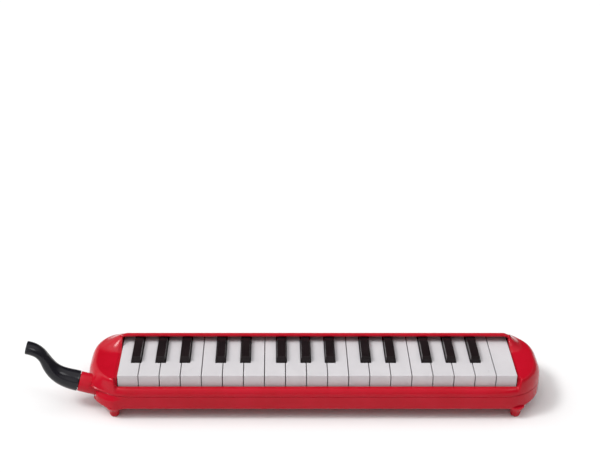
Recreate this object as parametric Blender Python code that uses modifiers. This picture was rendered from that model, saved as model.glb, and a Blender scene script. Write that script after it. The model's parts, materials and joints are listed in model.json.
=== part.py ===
"""A 32-key melodica, F3 to C6, standing on its four feet.

The row frame is metres with +Z up. X runs along the keyboard, low notes at -X, and the keys' fronts face -Y.
The body's own centre is at x = 0 in the functions below, and its feet end at GROUND. At the end everything is
parented to an empty that moves it, so that the feet stand at z = 0 and the whole object, mouthpiece included,
is centred on the origin.
"""

import math

import bmesh
import bpy
from mathutils import Matrix, Vector

MM = 0.001

# Keyboard
PITCH = 19.5 * MM
NATURALS = 19
KEY_GAP = 0.8 * MM
BLACK_GAP = 0.5 * MM
BLACK_FRONT_GAP = 0.8 * MM
BLACK_WIDTH = 9.1 * MM
BLACK_TOP_WIDTH = 7.8 * MM
KEY_FRONT = -40.5 * MM
KEY_REAR = 26.2 * MM
KEY_TOP = 41.4 * MM
KEY_SKIRT = 28 * MM
KEY_WALL = 1.3 * MM
KEY_PLATE = 2 * MM
BLACK_FRONT = -18.4 * MM
BLACK_REAR = 19 * MM
BLACK_TOP = 46.6 * MM
BLACK_FRONT_SLOPE = 2.4 * MM
BLACK_SKIRT = 30.5 * MM
BLACK_WALL = 1.5 * MM
FIRST_NOTE = "F"
FIRST_OCTAVE = 3
# How far each black key's centre stands from the line between its two naturals
BLACK_SHIFT = {"Fs": -3.7 * MM, "Gs": -0.3 * MM, "As": 3.1 * MM, "Cs": -2.3 * MM, "Ds": 1.5 * MM}

# Key levers, pivot and pads
PIVOT_Y = 10 * MM
PIVOT_Z = 33 * MM
SHAFT_RADIUS = 1.25 * MM
GAP = 0.3 * MM
POST_DEPTH = 2.8 * MM
POST_CROWN = 2.1 * MM
END_POST = 186.5 * MM
LEVER_WIDTH = 6 * MM
LEVER_FRONT = -10 * MM
LEVER_TAIL = 35 * MM
LEVER_UNDER = 31.5 * MM
TAIL_TOP = 35.5 * MM
UNDERCUT_FRONT = -6 * MM
UNDERCUT_REAR = 26.4 * MM
UNDERCUT_TOP = 31 * MM
PAD_FRONT = 26.7 * MM
PAD_UNDER = 29 * MM

# Case
HALF_LENGTH = 214.2 * MM
CASE_MIDDLE = -1.6 * MM
HALF_DEPTH = 49 * MM
CORNER = 42 * MM
# Where the outline's points stand round a corner, in degrees, and the matching shares of the window's side.
# The second to the fifth are close together, for the step between the lip and the cheek.
WINDOW_CORNER = 3
CORNER_ANGLES = (10, 20.6, 22.5, 24.4, 26.5, 36, 48, 62, 76, 90)
SIDE_SHARES = (0, 0.028, 0.055, 0.083, 0.2, 0.37, 0.58, 0.78, 0.92, 1)
WALL = 2 * MM
PARTING = 23.3 * MM
SEAM = 0.15 * MM
UNDERSIDE = 8.5 * MM
SHOULDER = 8 * MM
LIP_SHOULDER = 3.8 * MM
REAR_SHOULDER = 11.5 * MM
CHEEK_TOP = 37.5 * MM
CHEEK_FALL = 0.08
LIP_TOP = 30.5 * MM
RIDGE_TOP = 49.5 * MM
RIDGE_Y = 20.5 * MM
REAR_SLOPE = 0.66
WINDOW_X = 185.7 * MM
WINDOW_FRONT = -41.5 * MM
WINDOW_REAR = 16.5 * MM
END_POST_TOP = 36.2 * MM
REAR_POST_TOP = 29.8 * MM
FOOT_X = 187.9 * MM
FOOT_Y = 41 * MM
GROUND = -2 * MM

# Wind chest, under the levers
CHEST_X = 184.5 * MM
CHEST_FRONT = 1 * MM
CHEST_REAR = 37 * MM
CHEST_UNDER = 13.7 * MM
CHEST_TOP = 28.7 * MM
CHAMBER_TOP = 21.3 * MM
CELL_TOP = 26.7 * MM
COVER_UNDER = 10.8 * MM
COVER_TOP = 12.3 * MM
GASKET_TOP = 13.4 * MM
REED_PLATE_UNDER = 19.8 * MM
REED_PLATE_TOP = 21 * MM

# Socket and mouthpiece, both on one axis that leans up to the left
SOCKET_AT = Vector((-208 * MM, -24 * MM, 20 * MM))
SOCKET_TILT = math.radians(16)
SOCKET_OUT = Vector((-math.cos(SOCKET_TILT), 0, math.sin(SOCKET_TILT)))
SOCKET_RADIUS = 9.5 * MM
SOCKET_BORE = 7.7 * MM
SOCKET_END = 16 * MM
SPIGOT_END = 2 * MM

# Water valve, in the rear wall near the high notes
DRAIN_X = 150 * MM
DRAIN_Z = 17.1 * MM

# Hand strap, under the body
STRAP_LEFT = -98 * MM
STRAP_RIGHT = 38 * MM
STRAP_Y = -4 * MM
STRAP_HALF_WIDTH = 17 * MM
STRAP_THICK = 1.8 * MM
STRAP_END_TOP = 8.2 * MM
STRAP_SAG_TOP = 2.8 * MM
STRAP_BEND = 22 * MM
STRAP_SCREW_INSET = 6 * MM

CASE_SCREWS = ((-199 * MM, 20 * MM), (199 * MM, 20 * MM), (-95 * MM, 42.5 * MM), (95 * MM, 42.5 * MM))

# The whole object's middle along X, measured from the body's centre
BODY_OFFSET = 29.7 * MM

TURN_STEPS = 12
BORE_STEPS = 8


# ---------------------------------------------------------------- scene, materials and plain solids


def clear_scene():
    for obj in list(bpy.data.objects):
        bpy.data.objects.remove(obj, do_unlink=True)


def make_collection(name, hidden=False):
    collection = bpy.data.collections.new(name)
    bpy.context.scene.collection.children.link(collection)
    collection.hide_render = hidden
    return collection


def make_material(name, colour, roughness, metallic=0.0):
    material = bpy.data.materials.new(name)
    material.use_nodes = True
    shader = material.node_tree.nodes["Principled BSDF"]
    shader.inputs["Base Color"].default_value = (*colour, 1.0)
    shader.inputs["Roughness"].default_value = roughness
    shader.inputs["Metallic"].default_value = metallic
    material.diffuse_color = (*colour, 1.0)
    return material


def place(name, mesh, material=None, sharp=40):
    """Puts a mesh in the parts collection, or, with no material, among the cutters as a hidden helper."""
    obj = bpy.data.objects.new(name, mesh)
    if material is None:
        CUTTERS.objects.link(obj)
        obj.hide_render = True
        obj.display_type = "WIRE"
        return obj
    mesh.materials.append(material)
    mesh.shade_smooth()
    mesh.set_sharp_from_angle(angle=math.radians(sharp))
    PARTS.objects.link(obj)
    return obj


def mesh_from(bm, name):
    bmesh.ops.recalc_face_normals(bm, faces=bm.faces)
    mesh = bpy.data.meshes.new(name)
    bm.to_mesh(mesh)
    bm.free()
    return mesh


def add_box(bm, low, high):
    low, high = Vector(low), Vector(high)
    matrix = Matrix.Translation((low + high) / 2) @ Matrix.Diagonal((*(high - low), 1))
    return bmesh.ops.create_cube(bm, size=1, matrix=matrix)["verts"]


def add_cylinder(bm, start, end, radius, steps=BORE_STEPS):
    start, end = Vector(start), Vector(end)
    turn = Vector((0, 0, 1)).rotation_difference(end - start).to_matrix().to_4x4()
    bmesh.ops.create_cone(
        bm, cap_ends=True, segments=steps, radius1=radius, radius2=radius,
        depth=(end - start).length, matrix=Matrix.Translation((start + end) / 2) @ turn,
    )


def boxes(name, corners, material=None):
    """One object of separate boxes, each given by its two corners."""
    bm = bmesh.new()
    for low, high in corners:
        add_box(bm, low, high)
    return place(name, mesh_from(bm, name), material)


def cylinders(name, rows, material=None):
    """One object of separate cylinders, each given by its two ends and its radius."""
    bm = bmesh.new()
    for start, end, radius in rows:
        add_cylinder(bm, start, end, radius)
    return place(name, mesh_from(bm, name), material)


PLANES = {
    "XY": Matrix.Identity(4),
    "YZ": Matrix(((0, 0, 1, 0), (1, 0, 0, 0), (0, 1, 0, 0), (0, 0, 0, 1))),
    "XZ": Matrix(((1, 0, 0, 0), (0, 0, -1, 0), (0, 1, 0, 0), (0, 0, 0, 1))),
}


def prism(name, outline, plane, start, end, material=None):
    """A flat outline in a plane, thickened from start to end along that plane's normal."""
    curve = bpy.data.curves.new(name, "CURVE")
    curve.dimensions = "2D"
    curve.fill_mode = "BOTH"
    curve.extrude = abs(end - start) / 2
    spline = curve.splines.new("POLY")
    spline.points.add(len(outline) - 1)
    for point, (u, v) in zip(spline.points, outline):
        point.co = (u, v, 0, 1)
    spline.use_cyclic_u = True
    guide = bpy.data.objects.new(name + "_outline", curve)
    bpy.context.scene.collection.objects.link(guide)
    graph = bpy.context.evaluated_depsgraph_get()
    mesh = bpy.data.meshes.new_from_object(guide.evaluated_get(graph))
    bpy.data.objects.remove(guide)
    bm = bmesh.new()
    bm.from_mesh(mesh)
    bpy.data.meshes.remove(mesh)
    bmesh.ops.remove_doubles(bm, verts=bm.verts, dist=1e-6)
    bmesh.ops.translate(bm, verts=bm.verts, vec=(0, 0, (start + end) / 2 * (-1 if plane == "XZ" else 1)))
    bmesh.ops.transform(bm, verts=bm.verts, matrix=PLANES[plane])
    return place(name, mesh_from(bm, name), material)


def turned(name, profile, at, along, material=None, steps=TURN_STEPS):
    """A profile of (radius, distance) points, turned about the line from at in direction along.

    Each profile goes up its outer side, and closes either on the axis or on itself.
    """
    bm = bmesh.new()
    ring = [bm.verts.new((radius, 0, distance)) for radius, distance in reversed(profile)]
    for a, b in zip(ring, ring[1:] + ring[:1]):
        if max(a.co.x, b.co.x) > 0:
            bm.edges.new((a, b))
    mesh = bpy.data.meshes.new(name)
    bm.to_mesh(mesh)
    bm.free()
    obj = place(name, mesh, material)
    obj.location = at
    obj.rotation_mode = "QUATERNION"
    obj.rotation_quaternion = Vector((0, 0, 1)).rotation_difference(Vector(along))
    screw = obj.modifiers.new("turn", "SCREW")
    screw.steps = screw.render_steps = steps
    screw.use_merge_vertices = True
    screw.merge_threshold = 1e-6
    return obj


def combine(obj, operation, *others):
    for other in others:
        modifier = obj.modifiers.new(other.name, "BOOLEAN")
        modifier.operation = operation
        modifier.object = other


def cut(obj, *cutters):
    combine(obj, "DIFFERENCE", *cutters)


def join(obj, *additions):
    combine(obj, "UNION", *additions)


# ---------------------------------------------------------------- keyboard layout


def note_names():
    """Every note of the keyboard from the lowest, such as ("F", 3) and ("Fs", 3)."""
    scale = ["C", "Cs", "D", "Ds", "E", "F", "Fs", "G", "Gs", "A", "As", "B"]
    place_in_scale, octave, naturals, names = scale.index(FIRST_NOTE), FIRST_OCTAVE, 0, []
    while naturals < NATURALS:
        note = scale[place_in_scale]
        names.append((note, octave))
        naturals += len(note) == 1
        place_in_scale += 1
        if place_in_scale == len(scale):
            place_in_scale, octave = 0, octave + 1
    return names


def key_layout():
    """One dict per key: its name, its colour, its sides at the front and its sides between the black keys."""
    keys, line = [], -NATURALS * PITCH / 2
    for note, octave in note_names():
        if len(note) == 1:
            sides = (line + KEY_GAP / 2, line + PITCH - KEY_GAP / 2)
            name = f"white_key_{note}{octave}"
            line += PITCH
        else:
            middle = line + BLACK_SHIFT[note]
            sides = (middle - BLACK_WIDTH / 2, middle + BLACK_WIDTH / 2)
            name = f"black_key_{note}{octave}"
        keys.append({"name": name, "black": len(note) > 1, "sides": sides, "neck": list(sides)})
    for left, right in zip(keys, keys[1:]):
        if right["black"]:
            left["neck"][1] = right["sides"][0] - BLACK_GAP
        if left["black"]:
            right["neck"][0] = left["sides"][1] + BLACK_GAP
    for key in keys:
        key["middle"] = sum(key["neck"]) / 2
    return keys


# ---------------------------------------------------------------- keys


def white_outline(key, inset):
    """A natural's outline seen from above, with its notches beside the black keys, drawn in by inset."""
    (left, right), (neck_left, neck_right) = key["sides"], key["neck"]
    front, notch, rear = KEY_FRONT + inset, BLACK_FRONT - BLACK_FRONT_GAP - inset, KEY_REAR - inset
    points = [(left + inset, front), (right - inset, front)]
    if neck_right < right:
        points += [(right - inset, notch), (neck_right - inset, notch)]
    points += [(neck_right - inset, rear), (neck_left + inset, rear)]
    if neck_left > left:
        points += [(neck_left + inset, notch), (left + inset, notch)]
    return points


def lever_outline(rib_top, cap_rear):
    """A key's lever seen from the side: rib under the cap, tail behind it, and the pad under the tail."""
    return [
        (LEVER_FRONT, LEVER_UNDER), (PAD_FRONT, LEVER_UNDER), (PAD_FRONT, PAD_UNDER), (LEVER_TAIL, PAD_UNDER),
        (LEVER_TAIL, TAIL_TOP - 1.5 * MM), (cap_rear + 2 * MM, TAIL_TOP), (cap_rear - 0.6 * MM, TAIL_TOP),
        (cap_rear - 0.6 * MM, rib_top), (LEVER_FRONT, rib_top),
    ]


def key_underside_cutter(reach):
    """The space every key leaves below it: room over the wind chest, and the slot that clips on the shaft."""
    half = SHAFT_RADIUS + GAP
    crown = [
        (PIVOT_Y - half * math.cos(a), PIVOT_Z + half * math.sin(a))
        for a in (math.radians(45 * k) for k in range(5))
    ]
    floor = 20 * MM
    outline = [(UNDERCUT_FRONT, floor), (UNDERCUT_FRONT, UNDERCUT_TOP), (PIVOT_Y - half, UNDERCUT_TOP)]
    outline += crown + [(PIVOT_Y + half, UNDERCUT_TOP), (UNDERCUT_REAR, UNDERCUT_TOP), (UNDERCUT_REAR, floor)]
    return prism("key_underside_cutter", outline, "YZ", -reach, reach)


def white_key(key, underside, clearances, material):
    name = key["name"]
    cap = prism(name, white_outline(key, 0), "XY", KEY_SKIRT, KEY_TOP, material)
    inside = white_outline(key, KEY_WALL)
    hollow = prism(name + "_hollow", inside, "XY", KEY_SKIRT - 2 * MM, KEY_TOP - KEY_PLATE)
    sides = (key["middle"] - LEVER_WIDTH / 2, key["middle"] + LEVER_WIDTH / 2)
    outline = lever_outline(KEY_TOP - KEY_PLATE + 0.4 * MM, KEY_REAR)
    lever = prism(name + "_lever", outline, "YZ", *sides)
    cut(cap, hollow)
    join(cap, lever)
    cut(cap, underside, clearances)
    return cap


def black_key(key, underside, material):
    name, middle = key["name"], key["middle"]
    bm = bmesh.new()
    left, right = key["sides"]
    add_box(bm, (left, BLACK_FRONT, BLACK_SKIRT), (right, BLACK_REAR, KEY_TOP))
    top = max(bm.faces, key=lambda face: face.calc_center_median().z)
    raised = bmesh.ops.extrude_face_region(bm, geom=[top])["geom"]
    bmesh.ops.delete(bm, geom=[top], context="FACES_ONLY")
    narrow = BLACK_TOP_WIDTH / BLACK_WIDTH
    for vert in (item for item in raised if isinstance(item, bmesh.types.BMVert)):
        vert.co.z = BLACK_TOP
        vert.co.x = middle + (vert.co.x - middle) * narrow
        if vert.co.y < 0:
            vert.co.y += BLACK_FRONT_SLOPE
    cap = place(name, mesh_from(bm, name), material)
    half = BLACK_WIDTH / 2 - BLACK_WALL
    low = (middle - half, BLACK_FRONT + BLACK_WALL, BLACK_SKIRT - 2 * MM)
    high = (middle + half, BLACK_REAR - BLACK_WALL, BLACK_TOP - KEY_PLATE)
    hollow = boxes(name + "_hollow", [(low, high)])
    outline = lever_outline(BLACK_TOP - KEY_PLATE + 0.4 * MM, BLACK_REAR)
    lever = prism(name + "_lever", outline, "YZ", middle - LEVER_WIDTH / 2, middle + LEVER_WIDTH / 2)
    cut(cap, hollow)
    join(cap, lever)
    cut(cap, underside)
    return cap


# ---------------------------------------------------------------- case


def plan_stations(inset):
    """The case's plan outline drawn in by inset, from the front edge's middle to the right end's middle."""
    radius = CORNER - inset
    straight_x, straight_y = HALF_LENGTH - CORNER, HALF_DEPTH - CORNER
    points = [(straight_x * k, -HALF_DEPTH + inset) for k in (0, 1)]
    for a in (math.radians(angle) for angle in CORNER_ANGLES):
        points.append((straight_x + radius * math.sin(a), -straight_y - radius * math.cos(a)))
    return points + [(HALF_LENGTH - inset, 0.0)]


def all_round(quarter, middle_y=0):
    """A closed ring from its front right quarter, which is mirrored to the rear and then to the left."""
    right = quarter + [(x, 2 * middle_y - y) for x, y in reversed(quarter[:-1])]
    return right + [(-x, y) for x, y in reversed(right[1:-1])]


def rounded_ring(inset):
    return all_round(plan_stations(inset))


def shoulder_ring(share):
    """The plan outline drawn in by a share of the shoulder's width, least at the lip and most at the rear."""
    points = []
    for (x, y), (inner_x, inner_y) in zip(rounded_ring(0), rounded_ring(1 * MM)):
        straight = REAR_SHOULDER if y > 0 else LIP_SHOULDER
        outward = abs(x - inner_x) / MM
        width = straight + (SHOULDER - straight) * smooth_step(outward, 0.5, 0.9)
        points.append((x + (inner_x - x) * width * share / MM, y + (inner_y - y) * width * share / MM))
    return points


def window_ring():
    """Points round the keyboard's window, one for each point of shoulder_ring."""
    middle = (WINDOW_FRONT + WINDOW_REAR) / 2
    points = []
    for k, (x, y) in enumerate(plan_stations(LIP_SHOULDER)):
        if k < WINDOW_CORNER:
            points.append((x, WINDOW_FRONT))
        else:
            points.append((WINDOW_X, WINDOW_FRONT + (middle - WINDOW_FRONT) * SIDE_SHARES[k - WINDOW_CORNER]))
    return all_round(points, middle)


def smooth_step(value, low, high):
    t = min(max((value - low) / (high - low), 0), 1)
    return t * t * (3 - 2 * t)


def top_level(x, y):
    """The height of the case's top: low lip in front, level cheeks beside the keys, sloping hood behind."""
    beside = smooth_step(abs(x), WINDOW_X - 0.2 * MM, WINDOW_X + 3 * MM)
    lip = smooth_step(-y, 39 * MM, 41.4 * MM) * (1 - beside)
    hood = 1 - smooth_step(abs(x), WINDOW_X - 4 * MM, WINDOW_X + 15 * MM)
    slope = RIDGE_TOP - REAR_SLOPE * max(y - RIDGE_Y, 0)
    hood *= smooth_step(y, 1 * MM, WINDOW_REAR)
    level = CHEEK_TOP + (LIP_TOP - CHEEK_TOP) * lip - CHEEK_FALL * max(y - RIDGE_Y, 0)
    return level + (slope - level) * hood


def add_rings(bm, rings):
    """A surface through closed rings of equally many points."""
    rows = [[bm.verts.new(point) for point in ring] for ring in rings]
    for lower, upper in zip(rows, rows[1:]):
        for k in range(len(lower)):
            after = (k + 1) % len(lower)
            bm.faces.new((lower[k], lower[after], upper[after], upper[k]))
    return rows


def add_case_rings(bm, rings):
    """A surface through the case's rings. Its left end is a little longer than its right."""
    beyond = (WINDOW_X + 2 * MM, HALF_LENGTH)
    return add_rings(bm, [
        [(x + CASE_MIDDLE * smooth_step(abs(x), *beyond), y, z) for x, y, z in ring] for ring in rings
    ])


def upper_case(material):
    bottom = PARTING + SEAM
    base = bottom + 0.8 * MM
    rings = [[(x, y, bottom) for x, y in rounded_ring(0)]]
    for k in range(4):
        a = math.pi / 2 * k / 3
        ring = shoulder_ring(1 - math.cos(a))
        rings.append([(x, y, base + (top_level(x, y) - base) * math.sin(a)) for x, y in ring])
    outer, inner = shoulder_ring(1), window_ring()
    ridge_share = (HALF_DEPTH - REAR_SHOULDER - RIDGE_Y) / (HALF_DEPTH - REAR_SHOULDER - WINDOW_REAR)
    for share in (0.45, ridge_share, 1):
        ring = [(a + (c - a) * share, b + (d - b) * share) for (a, b), (c, d) in zip(outer, inner)]
        rings.append([(x, y, top_level(x, y)) for x, y in ring])
    bm = bmesh.new()
    add_case_rings(bm, rings)
    case = place("upper_case", mesh_from(bm, "upper_case"), material)
    thicken_inwards(case)
    posts, bores = [], []
    for x, y in CASE_SCREWS:
        top = END_POST_TOP if abs(x) > WINDOW_X else REAR_POST_TOP
        posts.append(((x, y, 13.3 * MM), (x, y, top), 3.2 * MM))
        bores.append(((x, y, 12 * MM), (x, y, 26 * MM), 1.7 * MM))
    low = (-WINDOW_X + 0.2 * MM, WINDOW_FRONT + 0.2 * MM, PARTING - 2 * MM)
    window = boxes("window_corners", [(low, (WINDOW_X - 0.2 * MM, 0, 60 * MM))])
    join(case, cylinders("upper_case_posts", posts))
    cut(case, cylinders("upper_case_bores", bores), window)
    return case


def thicken_inwards(case):
    solidify = case.modifiers.new("wall", "SOLIDIFY")
    solidify.thickness = WALL
    solidify.offset = -1
    solidify.use_even_offset = True


def foot_places():
    return [(CASE_MIDDLE + x, y) for x in (-FOOT_X, FOOT_X) for y in (-FOOT_Y, FOOT_Y)]


def lower_case(material):
    top, floor_round = PARTING - SEAM, 3.2 * MM
    rings = [[(x, y, top) for x, y in rounded_ring(0)]]
    for k in range(3):
        a = math.pi / 2 * k / 2
        inset, z = floor_round * (1 - math.cos(a)), UNDERSIDE + floor_round * (1 - math.sin(a))
        rings.append([(x, y, z) for x, y in rounded_ring(inset)])
    bm = bmesh.new()
    rows = add_case_rings(bm, rings)
    bm.faces.new(rows[-1])
    case = place("lower_case", mesh_from(bm, "lower_case"), material)
    thicken_inwards(case)
    straps = [(x, STRAP_Y) for x in strap_screw_places()]
    reach_x, reach_y = CHEST_X + 0.4 * MM, CHEST_REAR + 0.4 * MM
    interior = boxes("foot_limits", [((-reach_x, -reach_y, 10.3 * MM), (reach_x, reach_y, 30 * MM))])
    profile = [(0, 0), (3.2, 0), (4.1, 0.9), (4.9, 6), (6.6, 9.6), (6.6, 12.2), (4.6, 16.5), (0, 16.5)]
    profile = [(r * MM, z * MM) for r, z in profile]
    for index, (x, y) in enumerate(foot_places()):
        foot = turned(f"foot_{index}", profile, (x, y, GROUND), (0, 0, 1))
        cut(foot, interior)
        join(case, foot)
    pillars = [((x, y, 9 * MM), (x, y, 13 * MM), 4.7 * MM) for x, y in CASE_SCREWS]
    pillars += [((x, y, 9 * MM), (x, y, 18 * MM), 2.8 * MM) for x, y in straps]
    recesses = [((x, y, 8 * MM), (x, y, 11.1 * MM), 3.4 * MM) for x, y in CASE_SCREWS]
    bores = [((x, y, 10 * MM), (x, y, 14 * MM), 1.7 * MM) for x, y in CASE_SCREWS]
    bores += [((x, y, 8 * MM), (x, y, 17 * MM), 1.5 * MM) for x, y in straps]
    join(case, cylinders("lower_case_pillars", pillars))
    cut(case, cylinders("lower_case_recesses", recesses))
    cut(case, cylinders("lower_case_bores", bores))
    hole = [((DRAIN_X, 45 * MM, DRAIN_Z), (DRAIN_X, 51 * MM, DRAIN_Z), 3.6 * MM)]
    cut(case, cylinders("drain_hole", hole))
    return case


def case_screw(index, x, y, material):
    profile = [(0, 9), (2.8, 9), (2.8, 10.4), (2.4, 10.8), (1.4, 10.8), (1.4, 23), (0, 24.5)]
    profile = [(r * MM, z * MM) for r, z in profile]
    return turned(f"case_screw_{index}", profile, (x, y, 0), (0, 0, 1), material)


# ---------------------------------------------------------------- wind chest, reeds and key action


def shaft_posts(keys):
    """The middles of the posts that hold the shaft: beyond both end keys, and wherever two naturals meet."""
    pairs = [(a, b) for a, b in zip(keys, keys[1:]) if not a["black"] and not b["black"]]
    return [-END_POST, *(a["sides"][1] + KEY_GAP / 2 for a, b in pairs), END_POST]


def post_clearances(keys):
    """The notches that the posts need in the naturals beside them."""
    depth, top = POST_DEPTH + 0.4 * MM, PIVOT_Z + POST_CROWN + 0.5 * MM
    return boxes("post_clearances", [
        ((x - 1.9 * MM, PIVOT_Y - depth, KEY_SKIRT - 1 * MM), (x + 1.9 * MM, PIVOT_Y + depth, top))
        for x in shaft_posts(keys)[1:-1]
    ])


def wind_chest(keys, material):
    wall = WALL
    low, high = (-CHEST_X, CHEST_FRONT, CHEST_UNDER), (CHEST_X, CHEST_REAR, CHEST_TOP)
    chest = boxes("wind_chest", [(low, high)], material)
    low = (-CHEST_X + wall, CHEST_FRONT + wall, CHEST_UNDER - wall)
    chamber = boxes("chest_chamber", [(low, (CHEST_X - wall, CHEST_REAR - wall, CHAMBER_TOP))])
    cells = boxes("chest_cells", [
        ((k["middle"] - 3.8 * MM, 5 * MM, CHAMBER_TOP - wall), (k["middle"] + 3.8 * MM, 33.5 * MM, CELL_TOP))
        for k in keys
    ])
    pad_holes = boxes("chest_pad_holes", [
        ((k["middle"] - 2 * MM, 28 * MM, CELL_TOP - wall), (k["middle"] + 2 * MM, 33 * MM, CHEST_TOP + wall))
        for k in keys
    ])
    post_front, post_rear = PIVOT_Y - POST_DEPTH, PIVOT_Y + POST_DEPTH
    posts = boxes("shaft_posts", [
        ((x - 1.1 * MM, post_front, CHEST_TOP - 1 * MM), (x + 1.1 * MM, post_rear, PIVOT_Z + POST_CROWN))
        for x in shaft_posts(keys)
    ])
    arm_under, arm_top, arm_inner = CHEST_TOP - 1.5 * MM, CHEST_TOP - 0.1 * MM, END_POST - 4 * MM
    arm_front, arm_rear, arm_outer = post_front + 0.2 * MM, post_rear - 0.2 * MM, END_POST + 1 * MM
    arms = boxes("shaft_post_arms", [
        ((arm_inner, arm_front, arm_under), (arm_outer, arm_rear, arm_top)),
        ((-arm_outer, arm_front, arm_under), (-arm_inner, arm_rear, arm_top)),
    ])
    bores = cylinders("chest_bores", [
        ((-END_POST - 5 * MM, PIVOT_Y, PIVOT_Z), (END_POST + 5 * MM, PIVOT_Y, PIVOT_Z), SHAFT_RADIUS + GAP),
        ((DRAIN_X, CHEST_REAR - 3 * MM, DRAIN_Z), (DRAIN_X, CHEST_REAR + 2 * MM, DRAIN_Z), 1.7 * MM),
        ((-CHEST_X - 2 * MM, 9.5 * MM, 17.3 * MM), (-CHEST_X + 3 * MM, 9.5 * MM, 17.3 * MM), 3.2 * MM),
    ])
    cut(chest, chamber)
    cut(chest, cells)
    cut(chest, pad_holes)
    join(chest, posts, arms)
    cut(chest, bores)
    return chest


def chest_cover(material):
    low = (-CHEST_X, CHEST_FRONT, COVER_UNDER)
    return boxes("wind_chest_cover", [(low, (CHEST_X, CHEST_REAR, COVER_TOP))], material)


def chest_gasket(material):
    bottom, rim = COVER_TOP + GAP, 3 * MM
    low, high = (-CHEST_X, CHEST_FRONT, bottom), (CHEST_X, CHEST_REAR, GASKET_TOP)
    gasket = boxes("chest_gasket", [(low, high)], material)
    low = (-CHEST_X + rim, CHEST_FRONT + rim, bottom - WALL)
    high = (CHEST_X - rim, CHEST_REAR - rim, GASKET_TOP + WALL)
    inside = boxes("gasket_inside", [(low, high)])
    cut(gasket, inside)
    return gasket


def reed_plate(name, keys, first, left, right, material):
    """A metal plate with a slot and a tongue under each of its notes. Reeds get shorter as notes rise."""
    plate = boxes(name, [((left, 4 * MM, REED_PLATE_UNDER), (right, 34 * MM, REED_PLATE_TOP))], material)
    slots, tongues = [], []
    for number, key in enumerate(keys, first):
        x, length = key["middle"], (26 - 0.45 * number) * MM
        slots.append(((x - 1.6 * MM, 8 * MM, 19 * MM), (x + 1.6 * MM, 8 * MM + length, 22 * MM)))
        tongues.append(((x - 1.2 * MM, 5.5 * MM, 19.5 * MM), (x + 1.2 * MM, 7.6 * MM + length, 20 * MM)))
    cut(plate, boxes(name + "_slots", slots))
    join(plate, boxes(name + "_tongues", tongues))
    return plate


def pivot_shaft(material):
    bm = bmesh.new()
    end = END_POST + 1.5 * MM
    add_cylinder(bm, (-end, PIVOT_Y, PIVOT_Z), (end, PIVOT_Y, PIVOT_Z), SHAFT_RADIUS, 12)
    return place("pivot_shaft", mesh_from(bm, "pivot_shaft"), material)


def key_spring_comb(keys, material):
    """A stamped strip on the wind chest, with one finger that lifts each key's front from below."""
    thick, base = 0.4 * MM, CHEST_TOP + GAP
    reach = CHEST_X - 1 * MM
    comb = boxes("key_spring_comb", [((-reach, 1.5 * MM, base), (reach, 6.4 * MM, base + thick))], material)
    bm = bmesh.new()
    rise = LEVER_UNDER - GAP - thick - base
    for key in keys:
        low = (key["middle"] - 1.6 * MM, -9 * MM, base)
        for vert in add_box(bm, low, (key["middle"] + 1.6 * MM, 2.5 * MM, base + thick)):
            if vert.co.y < 0:
                vert.co.z += rise
    join(comb, place("comb_fingers", mesh_from(bm, "comb_fingers")))
    return comb


def key_guide_rail(keys, material):
    """A floor rail with two ridges, and a guide blade that stands up inside each hollow key."""
    reach, floor = CHEST_X, COVER_UNDER
    outline = [
        (-36, 10.8), (-9, 10.8), (-9, 12.8), (-11, 12.8), (-11, 22),
        (-16, 22), (-16, 12.8), (-29, 12.8), (-29, 22), (-36, 22),
    ]
    outline = [(y * MM, z * MM) for y, z in outline]
    rail = prism("key_guide_rail", outline, "YZ", -reach, reach, material)
    blades = []
    for key in keys:
        middle = key["middle"] if key["black"] else sum(key["sides"]) / 2
        front, rear = (-15 * MM, -12 * MM) if key["black"] else (-32.2 * MM, -29.6 * MM)
        blades.append(((middle - 0.8 * MM, front, floor + 4 * MM), (middle + 0.8 * MM, rear, 34 * MM)))
    join(rail, boxes("guide_blades", blades))
    return rail


def key_stop_felt(material):
    low = (-CHEST_X, -36 * MM, 22.3 * MM)
    return boxes("key_stop_felt", [(low, (CHEST_X, -32.6 * MM, 24.5 * MM))], material)


# ---------------------------------------------------------------- socket, duct and mouthpiece


def mouthpiece_socket(material):
    profile = [
        (4.4, -10), (5.8, -10), (5.8, 0), (9.5, 0), (9.5, 15.4), (8.9, 16), (7.7, 16), (7.7, 1.5), (4.4, 1.5),
    ]
    profile = [(r * MM, t * MM) for r, t in profile]
    return turned("mouthpiece_socket", profile, SOCKET_AT, SOCKET_OUT, material, 16)


def socket_hole():
    """The way through the case's end for the socket and for its narrow inner end."""
    profile = [(0, -14), (6.2, -14), (6.2, -0.6), (9.9, -0.6), (9.9, 14), (0, 14)]
    return turned("socket_hole", [(r * MM, t * MM) for r, t in profile], SOCKET_AT, SOCKET_OUT, steps=16)


def socket_collar(name, bottom, top):
    """The part of the flare round the socket that lies between two heights."""
    profile = [(7, -8), (14.4, -8), (13.2, -3), (11.9, 1), (10.5, 4.5), (7, 4.5)]
    collar = turned(name, [(r * MM, t * MM) for r, t in profile], SOCKET_AT, SOCKET_OUT)
    low, high = (-240 * MM, -60 * MM, bottom), (-190 * MM, 10 * MM, top)
    combine(collar, "INTERSECT", boxes(name + "_limits", [(low, high)]))
    return collar


def bezier(a, b, c, d, t):
    s = 1 - t
    return a * s**3 + b * 3 * s * s * t + c * 3 * s * t * t + d * t**3


def tube_mesh(name, centres, ups, sizes, steps):
    """A closed tube wall through ovals, each with a half width across Y and a half height across the path."""
    bm = bmesh.new()
    rings, angles, across = [], [2 * math.pi * k / steps for k in range(steps)], Vector((0, 1, 0))
    for centre, up, (wide, high) in zip(centres, ups, sizes):
        rings.append([centre + across * wide * math.cos(a) + up * high * math.sin(a) for a in angles])
    add_rings(bm, rings + rings[:1])
    bmesh.ops.remove_doubles(bm, verts=bm.verts, dist=1e-7)
    return mesh_from(bm, name)


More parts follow.
